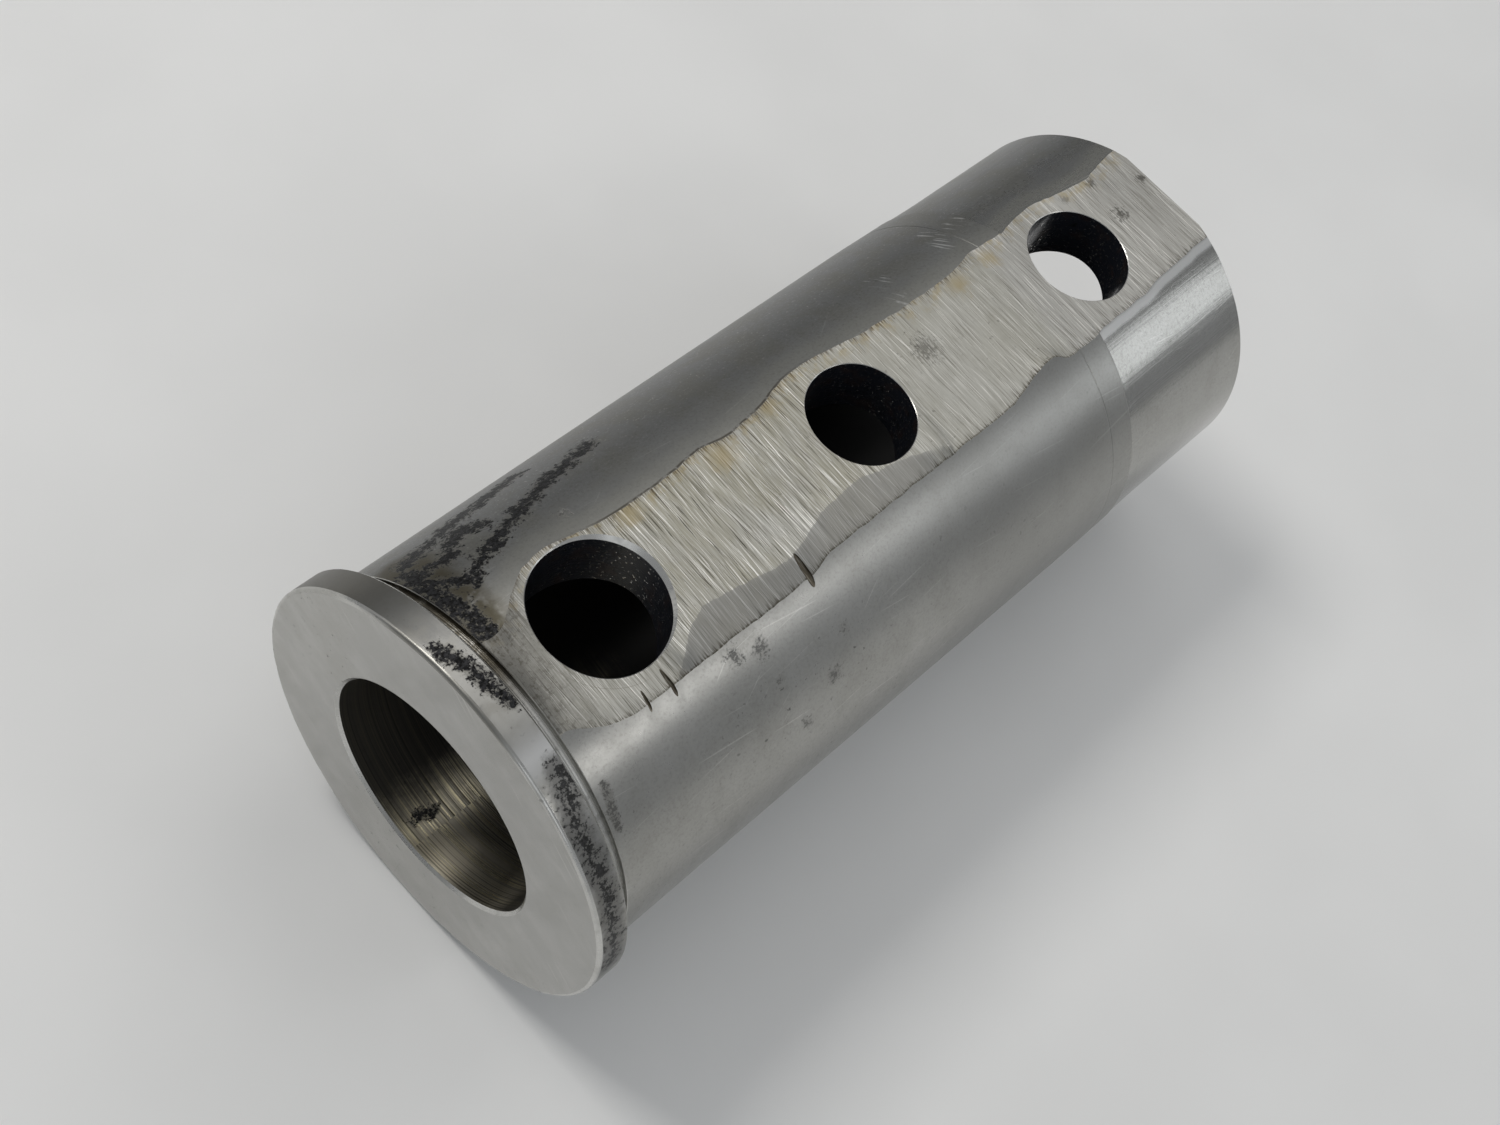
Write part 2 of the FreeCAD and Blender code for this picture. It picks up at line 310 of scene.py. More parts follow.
def grinding_slab():
    """Everything above the ground surface, from just behind the undercut past the tail."""
    xs = np.arange(RELIEF_WIDTH + 0.1, 122.4, 0.2)
    ys = np.arange(-15.0, 14.01, 0.5)
    grid_x, grid_y = np.meshgrid(xs, ys, indexing="ij")
    grid_z = flat_height(grid_x, grid_y)
    under = np.stack([grid_x, grid_y, grid_z], axis=-1).reshape(-1, 3)
    over = under.copy()
    over[:, 2] = CLEAR_HEIGHT
    rows, columns = len(xs), len(ys)
    count = rows * columns
    faces = grid_faces(rows, columns)
    faces += [tuple(count + i for i in f) for f in faces]
    ring = ([(i, 0) for i in range(rows)]
            + [(rows - 1, j) for j in range(1, columns)]
            + [(i, columns - 1) for i in range(rows - 2, -1, -1)]
            + [(0, j) for j in range(columns - 2, 0, -1)])
    rim = [i * columns + j for i, j in ring]
    for a, b in zip(rim, rim[1:] + rim[:1]):
        faces.append((a, b, count + b, count + a))
    zones = [ZONE["flat"]] * len(faces)
    for index in range(len(faces) - len(rim), len(faces)):
        zones[index] = ZONE["relief"]
    return mesh_object("slab", np.concatenate([under, over]), faces, zones)


def hole_cutter(place, radius, break_width):
    """A drill whose mouth breaks the edge by break_width(direction) all round the uneven flat."""
    steps = 256
    turn = np.arange(steps) * (2 * math.pi / steps)
    wide = break_width(turn)
    mouth = flat_height(place + (radius + wide) * np.cos(turn), (radius + wide) * np.sin(turn))
    waist = flat_height(place + radius * np.cos(turn), radius * np.sin(turn)) - wide * 0.8
    levels = [(radius, np.zeros(steps))]
    for share in np.linspace(0.3, 0.97, 14):
        levels.append((radius + 0.012 * math.sin(share * 61), waist * share))
    levels += [(radius, waist), (radius + wide, mouth), (radius + wide * 2 + 1, mouth + 1.2 + wide),
               (radius + wide * 2 + 1, np.full(steps, CLEAR_HEIGHT))]
    rings = [np.stack([place + r * np.cos(turn), r * np.sin(turn), z], axis=1) for r, z in levels]
    faces = grid_faces(len(levels), steps, wrap_columns=True)
    zones = [ZONE["hole_wall"]] * (steps * (len(levels) - 4)) + [ZONE["bright_edge"]] * (steps * 3)
    faces += [tuple(range(steps)), tuple((len(levels) - 1) * steps + i for i in range(steps))]
    zones += [ZONE["hole_wall"]] * 2
    return mesh_object("drill", np.concatenate(rings), faces, zones)


def gouge_cutter(place, across, length, width, depth, lean):
    """The boat-shaped bite of a tool that crosses the near edge of the flat."""
    steps, rounds = 32, 24
    u = np.linspace(0, math.pi, rounds + 1)[1:-1]
    turn = np.arange(steps) * (2 * math.pi / steps)
    tilt = math.radians(12)
    centre = np.array([place, across, float(flat_height(place, across)) - 0.05])
    points = [(-1, 0, 0)]
    for a in u:
        points += [(-math.cos(a), math.sin(a) * math.cos(t), math.sin(a) * math.sin(t)) for t in turn]
    points.append((1, 0, 0))
    points = np.array(points) * (length / 2, width / 2, depth)
    spin = Matrix.Rotation(tilt, 3, "X") @ Matrix.Rotation(math.radians(-90 + lean), 3, "Z")
    points = points @ np.array(spin).T + centre
    faces = [(0, 1 + (i + 1) % steps, 1 + i) for i in range(steps)]
    faces += [tuple(1 + k for k in f) for f in grid_faces(len(u), steps, wrap_columns=True)]
    last = len(points) - 1
    faces += [(last, last - steps + i, last - steps + (i + 1) % steps) for i in range(steps)]
    return mesh_object("gouge", points, faces, [ZONE["nick"]] * len(faces))


def cut(target, cutter):
    """Take the cutter's volume out of the target."""
    modifier = target.modifiers.new("cut", "BOOLEAN")
    modifier.operation = "DIFFERENCE"
    modifier.solver = "MANIFOLD"
    modifier.object = cutter
    bpy.context.view_layer.update()
    evaluated = target.evaluated_get(bpy.context.evaluated_depsgraph_get())
    result = bpy.data.meshes.new_from_object(evaluated)
    target.modifiers.clear()
    target.data = result
    bpy.data.objects.remove(cutter)


# ---------------------------------------------------------------- node graphs


class Value:
    """One output in a shader graph, with arithmetic."""

    def __init__(self, graph, socket):
        self.graph, self.socket = graph, socket

    def __add__(self, other):
        return self.graph.math("ADD", self, other)

    def __sub__(self, other):
        return self.graph.math("SUBTRACT", self, other)

    def __rsub__(self, other):
        return self.graph.math("SUBTRACT", other, self)

    def __mul__(self, other):
        return self.graph.math("MULTIPLY", self, other)

    def __truediv__(self, other):
        return self.graph.math("DIVIDE", self, other)

    def __neg__(self):
        return self * -1

    __radd__ = __add__
    __rmul__ = __mul__

    def clamp(self):
        return self.graph.math("ADD", self, 0, clamp=True)


class Graph:
    """A material's node tree, written as expressions. Its coordinates are in millimetres."""

    def __init__(self, name):
        self.material = bpy.data.materials.new(name)
        self.material.use_nodes = True
        self.tree = self.material.node_tree
        self.tree.nodes.clear()
        self.noises = {}
        place = self.node("ShaderNodeTexCoord").outputs["Object"]
        self.p = self.vector_math("SCALE", Value(self, place), scale=1 / MM)
        split = self.node("ShaderNodeSeparateXYZ", {"Vector": self.p})
        self.x, self.y, self.z = (Value(self, split.outputs[i]) for i in range(3))
        self.radius = self.math("SQRT", self.y * self.y + self.z * self.z)
        self.turn = self.math("ARCTAN2", self.y, self.z)
        self.angle = self.turn * math.degrees(1)

    def node(self, kind, inputs=None, **settings):
        node = self.tree.nodes.new(kind)
        for key, value in settings.items():
            setattr(node, key, value)
        for key, value in (inputs or {}).items():
            self.feed(node.inputs[key], value)
        return node

    def feed(self, socket, value):
        if isinstance(value, Value):
            self.tree.links.new(value.socket, socket)
        elif value is not None:
            socket.default_value = value

    def math(self, operation, *values, clamp=False):
        node = self.node("ShaderNodeMath", operation=operation, use_clamp=clamp)
        for socket, value in zip(node.inputs, values):
            self.feed(socket, value)
        return Value(self, node.outputs[0])

    def vector_math(self, operation, *values, scale=None):
        node = self.node("ShaderNodeVectorMath", operation=operation)
        for socket, value in zip(node.inputs, values):
            self.feed(socket, value)
        if scale is not None:
            self.feed(node.inputs["Scale"], scale)
        single = operation in ("DOT_PRODUCT", "DISTANCE")
        return Value(self, node.outputs["Value" if single else "Vector"])

    def vector(self, x, y, z=0.0):
        return Value(self, self.node("ShaderNodeCombineXYZ", {"X": x, "Y": y, "Z": z}).outputs[0])

    def noise(self, vector, scale, detail=2.0, roughness=0.5):
        """Noise from 0 to 1; the same noise asked for twice is one node."""
        key = (vector, scale, detail, roughness)
        if key not in self.noises:
            node = self.node("ShaderNodeTexNoise", {"Vector": vector, "Scale": scale, "Detail": detail,
                                                    "Roughness": roughness})
            self.noises[key] = Value(self, node.outputs["Fac"])
        return self.noises[key]

    def step(self, value, start, end, low=0.0, high=1.0):
        """Smoothly from low at start to high at end."""
        node = self.node("ShaderNodeMapRange", {"Value": value, "From Min": start, "From Max": end,
                                                "To Min": low, "To Max": high},
                         interpolation_type="SMOOTHSTEP")
        return Value(self, node.outputs[0])

    def window(self, value, start, end, soft):
        """1 between start and end, 0 outside, with soft flanks."""
        return self.step(value, start - soft, start + soft) * self.step(value, end + soft, end - soft)

    def mix(self, share, a, b):
        """a where share is 0, b where it is 1, for numbers."""
        return share * (b - a) + a

    def colour_mix(self, share, a, b):
        """a where share is 0, b where it is 1, for colours."""
        node = self.node("ShaderNodeMix", data_type="RGBA")
        for socket, value in ((node.inputs[0], share), (node.inputs[6], a), (node.inputs[7], b)):
            self.feed(socket, (*value, 1.0) if isinstance(value, tuple) and len(value) == 3 else value)
        return Value(self, node.outputs[2])

    def attribute(self, name):
        """A number stored on the mesh's points."""
        return Value(self, self.node("ShaderNodeAttribute", attribute_name=name).outputs["Fac"])

    def finish(self, colour, metallic, roughness, height, anisotropy=0.0, tangent=None, coat=0.0,
               normal=None):
        """Close the graph with one shader; height is in millimetres."""
        bump = self.node("ShaderNodeBump", {"Height": height, "Strength": 1.0, "Distance": MM,
                                            "Normal": normal})
        shader = self.node("ShaderNodeBsdfPrincipled", {
            "Base Color": colour, "Metallic": metallic, "Roughness": roughness,
            "Normal": Value(self, bump.outputs[0]), "Anisotropic": anisotropy, "Tangent": tangent,
            "Coat Weight": coat, "Coat Roughness": 0.15})
        output = self.node("ShaderNodeOutputMaterial")
        self.tree.links.new(shader.outputs[0], output.inputs["Surface"])
        return self.material


STEEL = (0.41, 0.405, 0.385)
WARM_STEEL = (0.50, 0.465, 0.385)
DARK_STEEL = (0.30, 0.295, 0.27)
BRIGHT_STEEL = (0.66, 0.65, 0.62)
BLACK_RUST = (0.008, 0.008, 0.008)
CRUST = (0.035, 0.035, 0.037)
BROWN_STAIN = (0.070, 0.060, 0.036)
YELLOW_STAIN = (0.36, 0.29, 0.15)
OIL_AND_SHADE = (0.012, 0.011, 0.010)
PALE_STROKE = (0.86, 0.85, 0.81)


class Finish:
    """A surface being built up, from bare metal to dirt."""

    def __init__(self, graph, colour, roughness, metallic=1.0):
        self.g = graph
        self.colour = colour
        self.roughness = roughness
        self.metallic = metallic
        self.height = 0.0

    def layer(self, share, colour=None, roughness=None, metallic=None, height=None):
        """Cover the surface with something where share is above 0."""
        g = self.g
        if colour is not None:
            self.colour = g.colour_mix(share, self.colour, colour)
        if roughness is not None:
            self.roughness = g.mix(share, self.roughness, roughness)
        if metallic is not None:
            self.metallic = g.mix(share, self.metallic, metallic)
        if height is not None:
            self.height = share * height + self.height


def tarnish(f, tone, amount=1.0):
    """Broad uneven tone, fine grain and small specks that all worn steel has."""
    g = f.g
    broad = g.noise(g.p, 0.07, 3.0, 0.55)
    middle = g.noise(g.p, 0.45, 4.0, 0.6)
    fine = g.noise(g.p, 5.0, 2.0, 0.6)
    f.layer(g.step(broad, 0.38, 0.66) * 0.55 * amount, tone)
    f.layer(g.step(middle, 0.45, 0.75) * 0.35 * amount, tone, roughness=0.45)
    f.roughness = f.roughness + (middle - 0.5) * 0.12 * amount + (fine - 0.5) * 0.08
    f.height = f.height + (fine - 0.5) * 0.0012
    specks = g.step(g.noise(g.p, 1.7, 1.0, 0.4), 0.70, 0.76) * g.step(broad, 0.35, 0.7)
    f.layer(specks * 0.6 * amount, BLACK_RUST, roughness=0.6, height=-0.006)


def turning_lines(f, along_axis, around, fineness, depth):
    """Fine lines that follow the lathe tool round the bore."""
    g = f.g
    lines = g.noise(g.vector(along_axis * fineness, around * 0.35), 1.0, 3.0, 0.65)
    wide = g.noise(g.vector(along_axis * fineness * 0.22, around * 0.2, 3.0), 1.0, 2.0, 0.5)
    f.height = f.height + (lines - 0.5) * depth + (wide - 0.5) * depth * 1.5
    f.roughness = f.roughness + (lines - 0.5) * 0.10
    return lines


def stain_path(g, points, width, ragged=1.0):
    """1 on a line of (x, angle) points, 0 at width from it and below 0 farther out, unevenly."""
    across = g.turn * SHANK_RADIUS
    spot = g.vector(g.x, across)
    swirl = g.noise(spot, 0.35, 3.0, 0.6) - 0.5
    nearest = None
    for (xa, aa), (xb, ab) in zip(points, points[1:]):
        a = Vector((xa, math.radians(aa) * SHANK_RADIUS, 0))
        b = Vector((xb, math.radians(ab) * SHANK_RADIUS, 0))
        reach = b - a
        offset = g.vector_math("SUBTRACT", spot, tuple(a))
        share = (g.vector_math("DOT_PRODUCT", offset, tuple(reach)) * (1 / reach.length_squared)).clamp()
        foot = g.vector_math("SCALE", tuple(reach), scale=share)
        distance = g.vector_math("DISTANCE", offset, foot)
        nearest = distance if nearest is None else g.math("MINIMUM", nearest, distance)
    return 1.0 - (nearest + swirl * (2.4 * ragged)) / width


def spots(g, marks):
    """1 in the middle of the nearest (x, angle, size) mark, 0 at size from it."""
    spot = g.vector(g.x, g.turn * SHANK_RADIUS)
    swirl = (g.noise(g.p, 0.9, 3.0, 0.6) - 0.5) * 3.0
    strongest = None
    for x, angle, size in marks:
        distance = g.vector_math("DISTANCE", spot, (x, math.radians(angle) * SHANK_RADIUS, 0))
        field = 1.0 - (distance + swirl) * (1 / size)
        strongest = field if strongest is None else g.math("MAXIMUM", strongest, field)
    return strongest


def rust(f, field, strength=1.0, haze=0.5, full=0.0, grain=1.1):
    """Etched grey haze with lacy black rust in it, solid where the field is strong."""
    g = f.g
    lace = g.noise(g.p, grain, 5.0, 0.68) - 0.5
    pits = g.noise(g.p, 4.0, 2.0, 0.6)
    etched = g.step(field + lace * 1.5, 0.0, 0.5)
    f.layer(etched * (haze * strength), (0.13, 0.125, 0.11), roughness=0.48, metallic=0.8)
    solid = g.step(field * 0.75 + lace * 3.2 + (pits - 0.5) * 1.1 + full, 0.26, 0.62)
    body = solid * g.step(field, -0.35, 0.0)
    crust = g.colour_mix(g.step(g.noise(g.p, 2.2, 3.0, 0.7), 0.38, 0.62), BLACK_RUST, CRUST)
    f.layer(body * strength, crust, roughness=0.5, metallic=0.95)
    f.height = f.height + body * (pits - 0.75) * 0.05


def radial_tangent(g):
    """Direction round the bore."""
    return Value(g, g.node("ShaderNodeTangent", direction_type="RADIAL", axis="X").outputs[0])


# Handling scratches as (lean, stretch, threshold).
HANDLING_MARKS = [(0.10, 0.05, 0.70), (-0.16, 0.07, 0.71), (0.55, 0.12, 0.74)]
# Rust beside the flange: lines of (x, angle) points with a width and a raggedness.
RUST_RING = [(3.1, 2), (3.5, 9), (3.6, 18), (3.2, 27), (3.6, 40)]
RUST_BRANCHES = [
    ([(4, 31), (7.4, 26), (9.8, 28.6), (13.5, 33), (18, 36.5), (23, 40.5), (32, 45)], 1.7, 1.3),
    ([(4.5, 37), (8.5, 38), (12, 46), (14.5, 41)], 1.6, 1.2),
    ([(5, 46), (14, 52), (24, 56)], 1.8, 1.2),
]
# Small marks as (x, angle, size).
RUST_DOTS = [(36.5, -54.5, 1.5), (31.2, -62.2, 1.2), (28.8, -44.1, 1.0), (28.0, -33.8, 1.6),
             (24.8, -30.7, 1.3), (39.6, -44.8, 1.0), (20.6, 26.5, 1.3)]
SCUFFS = [(92.8, 32.9, 2.2), (88.3, 36.0, 1.6), (88.0, 29.0, 2.6), (76.2, 30.5, 2.0), (74.7, 21.5, 1.6)]


def shank_material(name, tail=False):
    """Turned steel of the shank, or of the more polished tail."""
    g = Graph(name)
    around = g.turn * SHANK_RADIUS
    f = Finish(g, STEEL, 0.30 if not tail else 0.17)
    tarnish(f, DARK_STEEL, 0.55 if not tail else 0.15)
    turning_lines(f, g.x, g.turn, 9.0, 0.0014)
    # long faint handling scratches, mostly along the part
    for index, (lean, stretch, low) in enumerate(HANDLING_MARKS):
        u = g.x * math.cos(lean) + around * math.sin(lean)
        v = around * math.cos(lean) - g.x * math.sin(lean)
        mask = g.step(g.noise(g.vector(u * stretch, v * 2.6, 7.0 * index), 1.0, 1.0, 0.3), low, low + 0.07)
        f.layer(mask * 0.4, BRIGHT_STEEL, roughness=0.34, height=-0.002)
    # smears of oil and grime
    smear = g.noise(g.vector(g.x * 0.2, around * 0.10), 1.0, 4.0, 0.65)
    f.layer(g.step(smear, 0.46, 0.75) * 0.35, DARK_STEEL, roughness=0.20 if tail else 0.38)
    # painted shade: the far side, turned from the light, painted darker and olive-grey, darkest from 26 to 44
    # degrees
    far_side_shade = g.step(g.angle, 14, 46) * g.step(g.angle, 150, 110)
    f.layer(far_side_shade * 0.85, (0.17, 0.172, 0.17), roughness=0.34)
    olive = g.step(g.noise(g.p, 0.18, 4.0, 0.6), 0.42, 0.62)
    f.layer(far_side_shade * olive * 0.45, (0.21, 0.195, 0.14), roughness=0.38)
    f.layer(g.step(g.angle, 26, 44) * g.step(g.angle, 150, 110) * 0.45, (0.095, 0.10, 0.105))
    # painted highlight: a lighter band beside the flat's far edge
    outside = -g.attribute("from_far_edge")
    far_edge_highlight = g.window(outside, 0.0, 2.4, 0.8)
    f.layer(far_edge_highlight * (0.55 if tail else 0.35), (0.40, 0.39, 0.34), roughness=0.34)
    sand = g.noise(g.p, 2.6, 4.0, 0.75)
    # the sand's specks are stronger on the far side, in its painted shade
    dark_sand = g.step(sand, 0.46, 0.70) * (0.25 + far_side_shade * 0.35)
    f.layer(dark_sand, (0.15, 0.145, 0.125), roughness=0.24 if tail else 0.42)
    f.layer(g.step(sand, 0.42, 0.28) * (0.22 + far_side_shade * 0.30), (0.55, 0.54, 0.49))
    f.height = f.height + (sand - 0.5) * (0.001 if tail else 0.003)
    if not tail:
        # painted shade: the near side darker from x 58 to 96
        near_side_shade = g.window(g.x, 58, 96, 10) * g.step(g.angle, -8, -24)
        f.layer(near_side_shade * 0.5, (0.29, 0.288, 0.275), roughness=0.38)
        brown = g.noise(g.p, 0.35, 3.0, 0.6)
        beside_flange = g.step(stain_path(g, [(3, 2), (3.6, 18), (4.5, 45)], 4.6), -0.1, 0.6)
        stained = beside_flange * g.step(brown, 0.20, 0.45)
        f.layer(stained * 0.92, BROWN_STAIN, roughness=0.45, metallic=0.9)
        branches = stain_path(g, RUST_RING, 2.0, 0.6)
        for points, width, ragged in RUST_BRANCHES:
            branches = g.math("MAXIMUM", branches, stain_path(g, points, width, ragged))
        rust(f, branches, 1.0, 0.6, 0.12, 1.2)
        rust(f, stain_path(g, [(3.6, -36), (3.2, -42), (3.0, -48)], 0.8, 0.3), 0.5, 0.9, -0.1, 2.0)
        rust(f, spots(g, RUST_DOTS), 0.42, 0.5, -0.1, 2.4)
        # dirt packed along the flat's far edge
        strip = g.window(outside, 0.0, 0.30, 0.12)
        clumps = g.step(g.noise(g.p, 0.9, 3.0, 0.6), 0.30, 0.50)
        packed = strip * clumps * g.window(g.x, 20, 56, 5)
        f.layer(packed * 0.85, (0.05, 0.042, 0.03), roughness=0.5, metallic=0.9)
        grains = g.step(g.noise(g.p, 1.1, 3.0, 0.6), 0.66, 0.71)
        specks = grains * g.window(g.angle, -66, -40, 6) * g.window(g.x, 20, 46, 5)
        f.layer(specks * 0.5, BLACK_RUST, roughness=0.5, height=-0.01)
    else:
        # the tail is polished along its length, so its highlights break into streaks
        streaks = g.noise(g.vector(g.x * 0.02, around * 1.2), 1.0, 4.0, 0.6)
        f.height = f.height + (streaks - 0.5) * 0.022
        f.roughness = f.roughness + (streaks - 0.5) * 0.10
        # painted highlight along the flat's near edge, where its rounded edge catches the light
        beyond = -g.attribute("from_near_edge")
        f.layer(g.window(beyond, 0.0, 1.2, 0.35) * 0.85, (0.86, 0.855, 0.83), roughness=0.36)
    scuffs = spots(g, SCUFFS)
    hairs = g.noise(g.vector(g.x * 2.6 + around, around * 0.25 - g.x * 0.1), 1.0, 1.0, 0.3)
    f.layer(g.step(scuffs, 0.0, 0.6) * g.step(hairs, 0.58, 0.66) * 0.8, (0.75, 0.74, 0.71), roughness=0.3)
    # the tail's highlights need the true round surface
    outward = g.vector_math("NORMALIZE", g.vector(0.0, g.y, g.z)) if tail else None
    return g.finish(f.colour, f.metallic, f.roughness.clamp(), f.height, 0.35, g.vector(1.0, 0.0, 0.0),
                    normal=outward)


def front_face_material():
    g = Graph("sleeve_front_face")
    f = Finish(g, (0.45, 0.445, 0.425), 0.15)
    tarnish(f, (0.42, 0.41, 0.375), 0.6)
    turning_lines(f, g.radius, g.turn, 6.0, 0.0012)
    wipe = g.noise(g.vector(g.y * 0.12 + g.z * 0.05, g.z * 0.25 - g.y * 0.1), 1.0, 4.0, 0.6)
    f.layer(g.step(wipe, 0.40, 0.72) * 0.5, (0.56, 0.555, 0.535), roughness=0.22)
    u = g.y * 0.8 + g.z * 0.6
    v = g.z * 0.8 - g.y * 0.6
    hair = g.step(g.noise(g.vector(u * 0.10, v * 3.0), 1.0, 1.0, 0.3), 0.70, 0.76)
    smudge = g.noise(g.vector(g.y * 0.16 + g.z * 0.08, g.z * 0.05 - g.y * 0.03, 8.0), 1.0, 3.0, 0.5)
    f.layer(g.step(smudge, 0.45, 0.75) * 0.45, (0.35, 0.345, 0.325), roughness=0.27)
    f.layer(hair * 0.5, BRIGHT_STEEL, roughness=0.26, height=-0.002)
    return g.finish(f.colour, f.metallic, f.roughness.clamp(), f.height, 0.25, radial_tangent(g))


def head_rim_material():
    g = Graph("sleeve_head_rim")
    f = Finish(g, STEEL, 0.32)
    tarnish(f, DARK_STEEL, 0.7)
    turning_lines(f, g.x, g.turn, 10.0, 0.0020)
    mottle = g.noise(g.p, 0.5, 4.0, 0.6)
    f.layer(g.step(mottle, 0.42, 0.68) * 0.5, (0.30, 0.29, 0.26), roughness=0.42)
    # painted shade: the rim darker on its far side, where it reflects dark surroundings
    f.layer(g.step(g.angle, 14, 38) * 0.85, (0.115, 0.11, 0.095), roughness=0.42)
    # painted highlight: a bright patch on the rim's near side
    f.layer(g.window(g.angle, -23, -16, 4) * 0.8, (0.82, 0.815, 0.80), roughness=0.42)
    rust(f, stain_path(g, [(-2.9, 11.5), (-1.9, 5), (-1.4, -1), (-0.8, -6.5)], 1.4, 0.5), 1.0, 0.7, 0.10, 1.5)
    dull = g.step(stain_path(g, [(-0.9, -25), (-2.2, -36), (-2.3, -86)], 2.2, 0.7), -0.1, 0.5)
    f.layer(dull * 0.6, (0.20, 0.20, 0.20), roughness=0.42)
    near_rust = [(-0.9, -24.5), (-1.4, -30), (-2.4, -37), (-2.2, -60), (-2.4, -84)]
    rust(f, stain_path(g, near_rust, 2.1, 1.0), 0.85, 0.5, -0.12, 1.5)
    return g.finish(f.colour, f.metallic, f.roughness.clamp(), f.height, 0.4, g.vector(1.0, 0.0, 0.0))


def relief_material():
    g = Graph("sleeve_relief")
    f = Finish(g, (0.60, 0.595, 0.57), 0.42)
    tarnish(f, (0.26, 0.255, 0.235), 0.7)
    turning_lines(f, g.x, g.turn, 14.0, 0.004)
    grime = g.noise(g.p, 0.5, 4.0, 0.7)
    # grime and painted shade in the undercut, on its top and far side
    grime_and_shade = g.step(g.angle, -16, 4) * g.step(grime, 0.25, 0.50, 0.55, 0.95)
    f.layer(grime_and_shade, (0.075, 0.065, 0.045), roughness=0.5)
    f.layer(g.step(grime, 0.50, 0.72) * 0.5, OIL_AND_SHADE, roughness=0.5, metallic=0.5)
    return g.finish(f.colour, f.metallic, f.roughness.clamp(), f.height)


# Broad grinding strokes as (lean, fineness, stretch, weight).
BROAD_STROKES = [(0.03, 4.2, 0.07, 0.5), (-0.05, 6.5, 0.10, 0.9), (0.06, 9.0, 0.13, 1.0)]
# Single deep strokes as (lean, fineness, stretch, threshold, colour).
DEEP_STROKES = [
    (0.03, 5.0, 0.07, 0.66, PALE_STROKE), (-0.06, 7.0, 0.10, 0.66, PALE_STROKE),
    (0.13, 6.0, 0.10, 0.69, PALE_STROKE), (-0.02, 10.0, 0.12, 0.66, PALE_STROKE),
    (0.05, 5.0, 0.10, 0.67, (0.08, 0.07, 0.055)), (-0.03, 7.0, 0.15, 0.66, (0.07, 0.065, 0.05)),
]
# Yellow stains as (x, y, size) and clusters of pits as (x, y, size, darkness).
YELLOW_SPOTS = [(49.4, 7.4, 1.8), (83.3, 5.8, 2.6), (26, 6.5, 2.4), (90, 6.6, 2.0), (40, 5.5, 3.0)]
PIT_CLUSTERS = [(72.5, 1.8, 2.8, 0.5), (112.0, 1.0, 1.7, 0.75), (119.6, 3.6, 1.2, 0.8),
                (112.2, 6.8, 1.2, 0.6), (107, 7.2, 1.0, 0.4)]


def strokes(g, lean, fine, stretch, seed):
    """Noise drawn out across the part, at a small lean: the marks of a hand grinder."""
    u = g.x * math.cos(lean) + g.y * math.sin(lean)
    v = g.y * math.cos(lean) - g.x * math.sin(lean)
    return g.noise(g.vector(u * fine, v * stretch, seed), 1.0, 1.0, 0.5)


